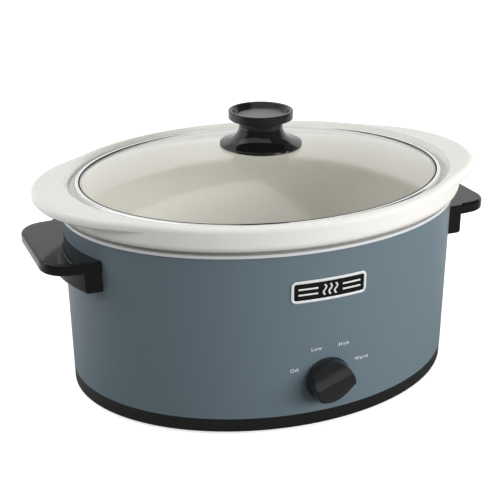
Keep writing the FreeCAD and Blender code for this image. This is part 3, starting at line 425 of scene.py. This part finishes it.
# %% Dress the solids that keep their own shape
DRESSING = {
    "base_pan": base_black, "foot_front_left": rubber, "foot_front_right": rubber,
    "foot_rear_left": rubber, "foot_rear_right": rubber, "outer_casing": enamel,
    "liner_pan": bright_steel, "liner_stud": zinc, "stud_washer": zinc, "stud_nut": zinc,
    "heat_shield": zinc, "heater_band": mica, "heater_strap": zinc, "thermal_fuse": zinc,
    "fuse_clip": zinc, "rotary_switch": switch_grey, "switch_nut": zinc,
    "switch_terminals": brass, "switch_shaft": brass, "control_knob": dial_black,
    "nameplate_frame": band_steel, "nameplate_inlay": plate_black, "handle_left": handle_black,
    "handle_right": handle_black, "handle_screws": zinc, "handle_washers": zinc,
    "cord_gland": rubber, "terminal_block": steatite, "crock": glaze, "lid_glass": glass,
    "lid_rim": band_steel, "lid_knob": gloss_black, "lid_knob_disc": satin_disc,
    "lid_knob_insert": brass, "lid_knob_screw": zinc, "lid_knob_washer": silicone,
}
for node, material in DRESSING.items():
    dress(bpy.data.objects[node], material)
print("dressed", len(DRESSING), "nodes")

# %% [markdown]
# ## The lid's band
#
# The glass edge is gripped by a rolled band of polished stainless steel. A plain ring of square
# section would show flat grey stripes: the real band is rounded on the outside and falls a little
# towards the glass, so each part of its section mirrors another part of the room, which gives the
# bright line and the thin dark one. It is one profile carried round the oval. Inside it a thin
# black half round lies along the band's inner edge, on the glass, and shows as a dark line.

# %% Roll the band and lay the thin black strip
low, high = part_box("lid_rim")
BAND_A, BAND_B = high.x, high.y
BAND_Z = (low.z, high.z)
BAND_WIDTH = 4.2 * MM
BAND_SHEET = 0.5 * MM
BAND_FALL = 0.25 * MM
BAND_ROUND = 2.1 * MM
BAND_FOOT_ROUND = 0.8 * MM
BAND_EDGE_ROUND = 0.3 * MM
BAND_UNDER = 0.7              # share of the width that is rolled under the glass
DARK_STRIP_WIDTH = 1.5 * MM
DARK_STRIP_HEIGHT = 0.45 * MM
DARK_STRIP_LAP = 0.2 * MM
DARK_STRIP_SINK = 0.02 * MM


def band_profile():
    """A closed channel section: rounded outside, hollow where the glass edge sits."""
    z0, z1 = BAND_Z
    under = -BAND_WIDTH * BAND_UNDER
    return profile([(under, z0, 0.2 * MM), (0.0, z0, BAND_FOOT_ROUND), (0.0, z1, BAND_ROUND),
                    (-BAND_WIDTH, z1 - BAND_FALL, BAND_EDGE_ROUND),
                    (-BAND_WIDTH, z1 - BAND_SHEET),
                    (-BAND_SHEET, z1 - BAND_SHEET, BAND_EDGE_ROUND),
                    (-BAND_SHEET, z0 + BAND_SHEET, BAND_EDGE_ROUND),
                    (under, z0 + BAND_SHEET)], loop=True, arc_step=8.0)


band = skin("lid_band", oval_rings(band_profile(), BAND_A, BAND_B), start="loop")
dress(band, band_steel)
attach(band, "lid")
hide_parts("lid_rim")

# A thin black half round along the band's inner edge, lying on the glass: it shows as a dark line
# there.
half_round = np.linspace(0, math.pi, 9)
dark_strip_line = np.stack([DARK_STRIP_LAP - BAND_WIDTH - DARK_STRIP_WIDTH * (0.5 - 0.5 * np.cos(half_round)),
                      BAND_Z[1] - BAND_SHEET - DARK_STRIP_SINK + DARK_STRIP_HEIGHT * np.sin(half_round)], -1)
dark_strip = skin("lid_dark_strip", oval_rings(dark_strip_line, BAND_A, BAND_B), start="loop")
dress(dark_strip, rubber)
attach(dark_strip, "lid")
print("band", len(band.data.vertices), "dark_strip", len(dark_strip.data.vertices))

# %% [markdown]
# ## The printed words
#
# The four settings are screen printed on the front, so they follow its curve and stand almost
# nothing proud. A picture of the words would blur when seen close, and a flat text object would
# cut into the curved sheet. So each word is set flat, made a mesh, and every point of it is laid
# on the casing's own formula, a hair outside the paint.

# %% Where the front of the casing is
low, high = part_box("outer_casing")
CASING_A = (177.9 * MM, 180.0 * MM)
CASING_B = (142.3 * MM, high.y)
CASING_Z = (low.z, high.z)


def on_casing(x, z, proud):
    """Points on the casing's front, y = -(B + proud) sqrt(1 - (x / (A + proud))^2).

    A and B are the oval's half sizes at height z, which grow a little from foot to top.
    """
    share = (z - CASING_Z[0]) / (CASING_Z[1] - CASING_Z[0])
    a = between(CASING_A[0], CASING_A[1], share) + proud
    b = between(CASING_B[0], CASING_B[1], share) + proud
    return np.stack([x, -b * np.sqrt(1 - (x / a) ** 2), z], -1)


# %% Print the settings
WORD_HEIGHT = 3.45 * MM
CAPITALS = 1.36               # type size over the height of a capital
WORD_SPACING = 1.22
WORD_BOLD = 0.02 * MM
INK = 0.03 * MM
WORDS = {"Off": (-29.9, 57.5), "Low": (-10.9, 74.9), "High": (14.6, 75.0), "Warm": (32.8, 57.5)}
ink = finish("printed ink", (0.80, 0.82, 0.82), roughness=0.45, vary=0.08, smudge_size=0.004,
             bump=0.000004, grain_size=0.0004, tint=0.04)


def print_word(word, x, z):
    """Set a word flat, centre it on (x, z), and lay it on the casing with a thin ink edge."""
    curve = bpy.data.curves.new("word", "FONT")
    curve.body = word
    curve.size = WORD_HEIGHT * CAPITALS
    curve.space_character = WORD_SPACING
    curve.offset = WORD_BOLD
    curve.align_x = "CENTER"
    holder = bpy.data.objects.new("word", curve)
    bpy.context.scene.collection.objects.link(holder)
    bpy.context.view_layer.update()
    mesh = bpy.data.meshes.new_from_object(
        holder.evaluated_get(bpy.context.evaluated_depsgraph_get()))
    bpy.data.objects.remove(holder)
    flat = np.empty(len(mesh.vertices) * 3)
    mesh.vertices.foreach_get("co", flat)
    flat = flat.reshape(-1, 3)
    placed = on_casing(flat[:, 0] + x, flat[:, 1] - WORD_HEIGHT / 2 + z, INK)
    mesh.vertices.foreach_set("co", placed.ravel())
    mesh.update()
    piece = bpy.data.objects.new("word_" + word.lower(), mesh)
    bpy.context.scene.collection.objects.link(piece)
    dress(piece, ink)
    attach(piece, "body")
    return piece


for word, (x, z) in WORDS.items():
    print_word(word, x * MM, z * MM)
print("printed", ", ".join(WORDS))

# %% [markdown]
# ## The plate
#
# The plate above the words is a cast badge: a bright rounded frame round a black field, with a
# plain ornament in it, three curls of steam between two pairs of bars. The frame of the solid
# model is square in section, which would shine as one flat stripe. A cast and polished one is half
# round, so the frame and the lines of the ornament are beads: a half round carried along a path on
# the casing's curve. One function makes them all.

# %% Raised lines on the front
BEAD_ROOT = 0.1 * MM


def raised_line(name, path, half_width, height, floor, loop=False, steps=8):
    """A half-round bead along a path (x, z): height x sin a above floor, half_width x cos a wide.

    The path's own sideways direction is its tangent turned a quarter turn; both ends of an open
    path are closed to a point at the bead's foot.
    """
    path = np.asarray(path, float)
    if loop:
        ahead = np.roll(path, -1, axis=0) - np.roll(path, 1, axis=0)
    else:
        ahead = np.gradient(path, axis=0)
    ahead /= np.linalg.norm(ahead, axis=1, keepdims=True)
    side = np.stack([-ahead[:, 1], ahead[:, 0]], -1)
    a = np.linspace(0, math.pi, steps + 1)
    spot = path[:, None] + side[:, None] * (half_width * np.cos(a))[None, :, None]
    rise = floor + height * np.broadcast_to(np.sin(a), spot.shape[:2])
    rings = on_casing(spot[..., 0], spot[..., 1], rise)
    under = on_casing(path[:, 0], path[:, 1], np.full(len(path), floor - BEAD_ROOT))[:, None]
    rings = np.concatenate([rings, under], axis=1)
    return skin(name, rings[:, ::-1], start="loop" if loop else "pole",
                end="open" if loop else "pole")


def rounded_rectangle(half_x, half_z, corner, centre_z, arc=7, run=24):
    """The outline of a rounded rectangle as points (x, z), with points along its straight runs."""
    t = np.linspace(0, math.pi / 2, arc)
    places = [(half_x - corner, half_z - corner, 0), (corner - half_x, half_z - corner, 1),
              (corner - half_x, corner - half_z, 2), (half_x - corner, corner - half_z, 3)]
    arcs = [np.stack([cx + corner * np.cos(t + k * math.pi / 2),
                      cz + corner * np.sin(t + k * math.pi / 2)], -1) for cx, cz, k in places]
    out = []
    for k, piece in enumerate(arcs):
        onward = arcs[(k + 1) % 4][0]
        share = np.linspace(0, 1, run)[1:-1, None]
        out += [piece, between(piece[-1], onward, share)]
    return np.vstack(out) + [0, centre_z]


# %% The plate's frame and its ornament
low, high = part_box("nameplate_frame")
PLATE_Z = (low.z + high.z) / 2
PLATE_HALF = (high.x, (high.z - low.z) / 2)
FRAME_HALF = 1.3 * MM
FRAME_HEIGHT = 0.75 * MM
FRAME_PROUD = 0.45 * MM
FRAME_CORNER = 3.2 * MM
FIELD_PROUD = 0.7 * MM
frame_path = rounded_rectangle(PLATE_HALF[0] - FRAME_HALF, PLATE_HALF[1] - FRAME_HALF,
                               FRAME_CORNER, PLATE_Z)
plate_frame = raised_line("plate_frame", frame_path, FRAME_HALF, FRAME_HEIGHT, FRAME_PROUD,
                          loop=True, steps=12)
dress(plate_frame, plate_silver)
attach(plate_frame, "body")
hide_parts("nameplate_frame")


CURL_PITCH = 5.0 * MM
CURL_SWAY = 1.2 * MM
CURL_RISE = 4.6 * MM
CURL_TURN = 3.4
BAR_FROM, BAR_TO = 11.0 * MM, 28.0 * MM
BAR_ROW = 2.4 * MM
MARK_HALF = 0.80 * MM
MARK_HEIGHT = 0.30 * MM


def ornament():
    """Three curls x = c + sway sin(turn u), z = rise u, and two level bars on each side."""
    lift = np.linspace(-1, 1, 33)
    lines = [np.stack([c + CURL_SWAY * np.sin(lift * CURL_TURN), PLATE_Z + lift * CURL_RISE], -1)
             for c in (-CURL_PITCH, 0.0, CURL_PITCH)]
    for side in (-1, 1):
        for row in (-BAR_ROW, BAR_ROW):
            x = np.linspace(BAR_FROM, BAR_TO, 21)[::side] * side
            lines.append(np.stack([x, np.full(21, PLATE_Z + row)], -1))
    return lines


for number, line in enumerate(ornament()):
    mark = raised_line(f"plate_mark_{number + 1}", line, MARK_HALF, MARK_HEIGHT, FIELD_PROUD)
    dress(mark, plate_silver)
    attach(mark, "body")
print("plate at", round(PLATE_Z / MM, 1), "mm,", number + 1, "marks")

# %% [markdown]
# ## The camera
#
# It stands a little above and to the left of the front, about a metre away, with a fairly long
# lens, which keeps the oval from looking stretched. The small shift frames the cooker without
# turning the camera, so the upright edges keep their slant.

# %% Camera
TARGET = np.array([0.0, 0.0, 0.102])
EYE = np.array([-0.3776, -0.8845, 0.4993])


def aim(thing, eye, target):
    """Stand a camera or a lamp at eye, pointing at target, upright."""
    thing.location = Vector(eye)
    thing.rotation_euler = (Vector(target) - Vector(eye)).to_track_quat("-Z", "Y").to_euler()


lens = bpy.data.cameras.new("camera")
lens.sensor_width = 36.0
lens.lens = 80.9
lens.shift_x = -0.0215
lens.shift_y = 0.0114
camera = bpy.data.objects.new("camera", lens)
bpy.context.scene.collection.objects.link(camera)
aim(camera, EYE, TARGET)
bpy.context.scene.camera = camera
print("camera at", EYE, "lens", lens.lens, "mm")

# %% [markdown]
# ## The floor
#
# A studio floor is white paper, but one that is lit evenly throws so much light up at black parts
# that they turn grey. The floor is therefore white to the eye of the camera only. For every other
# ray it is dim in front and bright behind, which is what the shining parts show of it.

# %% Floor
FLOOR_REACH = 4.0
FLOOR_TURNS = (-0.15, 0.45)
floor_mesh = mesh_from("floor", np.array([[-1, -1, 0], [1, -1, 0], [1, 1, 0], [-1, 1, 0]]) *
                       FLOOR_REACH, np.array([[0, 1, 2, 3]]))
floor = bpy.data.objects.new("floor", floor_mesh)
bpy.context.scene.collection.objects.link(floor)


def make_floor_paint(seen=0.80, glow=0.66, near=0.24, behind=1.0):
    """White as seen directly; what it throws back goes from near to behind along y."""
    material = finish("pale floor", (seen, seen, seen), roughness=0.6, vary=0.02)
    tree = material.node_tree
    shader = tree.nodes["Principled BSDF"]
    shader.inputs["Emission Color"].default_value = (1.0, 1.0, 1.0, 1.0)
    shader.inputs["Emission Strength"].default_value = glow
    place = add_node(tree, "ShaderNodeTexCoord")
    axes = add_node(tree, "ShaderNodeSeparateXYZ", {0: place.outputs["Object"]})
    sweep = ramp(tree, axes.outputs["Y"], *FLOOR_TURNS, near, behind)
    dim = add_node(tree, "ShaderNodeBsdfDiffuse", {"Color": sweep})
    path = add_node(tree, "ShaderNodeLightPath")
    both = add_node(tree, "ShaderNodeMixShader", {0: path.outputs["Is Camera Ray"],
                                                  1: dim.outputs[0], 2: shader.outputs[0]})
    tree.links.new(both.outputs[0], tree.nodes["Material Output"].inputs["Surface"])
    return material


dress(floor, make_floor_paint())
print("floor", 2 * FLOOR_REACH, "m across")

# %% [markdown]
# ## The studio
#
# Glossy black and polished steel show the room more than themselves, so the room is designed: one
# bright panel in the ceiling, a lit wall behind, and darkness in front and at the right. Lamps
# with the same shape would show hard white boxes in the glass, so the panel is painted on the
# world, with soft edges. Two soft boxes, hidden from reflections, light the front and the left.

# %% The studio around it
bpy.context.scene.view_settings.view_transform = "Standard"
CEILING = 1.6
BACKDROP = 0.88
ROOM = 0.10
LEFT_WALL = 0.85


def make_surround():
    """A ceiling panel and a lit backdrop in a dim room.

    On the ceiling plane a direction (x, y, z) lands at (x / z, y / z): the panel is a rectangle
    there. The backdrop is lit from the floor to about 28 degrees up, behind the object only, and
    on the left it is lit higher up too, at LEFT_WALL of the backdrop's strength.
    Looked at directly, everything is plain white.
    """
    world = bpy.data.worlds.new("surround")
    world.use_nodes = True
    tree = world.node_tree
    way = add_node(tree, "ShaderNodeTexCoord")
    axes = add_node(tree, "ShaderNodeSeparateXYZ", {0: way.outputs["Generated"]})
    x, y, z = axes.outputs["X"], axes.outputs["Y"], axes.outputs["Z"]
    rise = calculate(tree, "MAXIMUM", z, 0.02)
    across = calculate(tree, "DIVIDE", x, rise)
    along = calculate(tree, "DIVIDE", y, rise)
    panel = calculate(tree, "MULTIPLY", ramp(tree, across, 0.48, 0.42),
                      ramp(tree, along, 1.05, 0.97))
    panel = calculate(tree, "MULTIPLY", panel, ramp(tree, across, -1.5, -1.1))
    panel = calculate(tree, "MULTIPLY", panel, ramp(tree, along, -1.2, -0.8))
    lit = calculate(tree, "MULTIPLY", ramp(tree, z, 0.52, 0.44), ramp(tree, y, -0.1, 0.35))
    left = calculate(tree, "MULTIPLY", ramp(tree, across, 0.55, -0.1), ramp(tree, y, 0.1, 0.5))
    lit = calculate(tree, "MAXIMUM", lit, calculate(tree, "MULTIPLY", left, LEFT_WALL))
    light = calculate(tree, "MULTIPLY_ADD", panel, CEILING - BACKDROP, ROOM)
    light = calculate(tree, "MULTIPLY_ADD", lit, BACKDROP - ROOM, light)
    path = add_node(tree, "ShaderNodeLightPath")
    seen = add_node(tree, "ShaderNodeMix", {0: path.outputs["Is Camera Ray"], 2: light, 3: 1.0})
    tree.links.new(seen.outputs[0], tree.nodes["Background"].inputs["Strength"])
    tree.nodes["Background"].inputs["Color"].default_value = (1.0, 1.0, 1.0, 1.0)
    return world


bpy.context.scene.world = make_surround()


def soft_box(name, eye, target, width, height, power):
    """A rectangular lamp of the given size in metres."""
    data = bpy.data.lights.new(name, "AREA")
    data.shape = "RECTANGLE"
    data.size, data.size_y, data.energy = width, height, power
    lamp = bpy.data.objects.new(name, data)
    bpy.context.scene.collection.objects.link(lamp)
    aim(lamp, eye, target)
    return lamp


key = soft_box("key", (1.15, -1.55, 0.62), TARGET, 1.8, 0.9, 44)
key.visible_glossy = False
fill = soft_box("fill", (-1.6, 0.55, 0.85), TARGET, 1.2, 0.9, 13)
fill.visible_glossy = False
print("studio: ceiling", CEILING, "backdrop", BACKDROP, "room", ROOM)
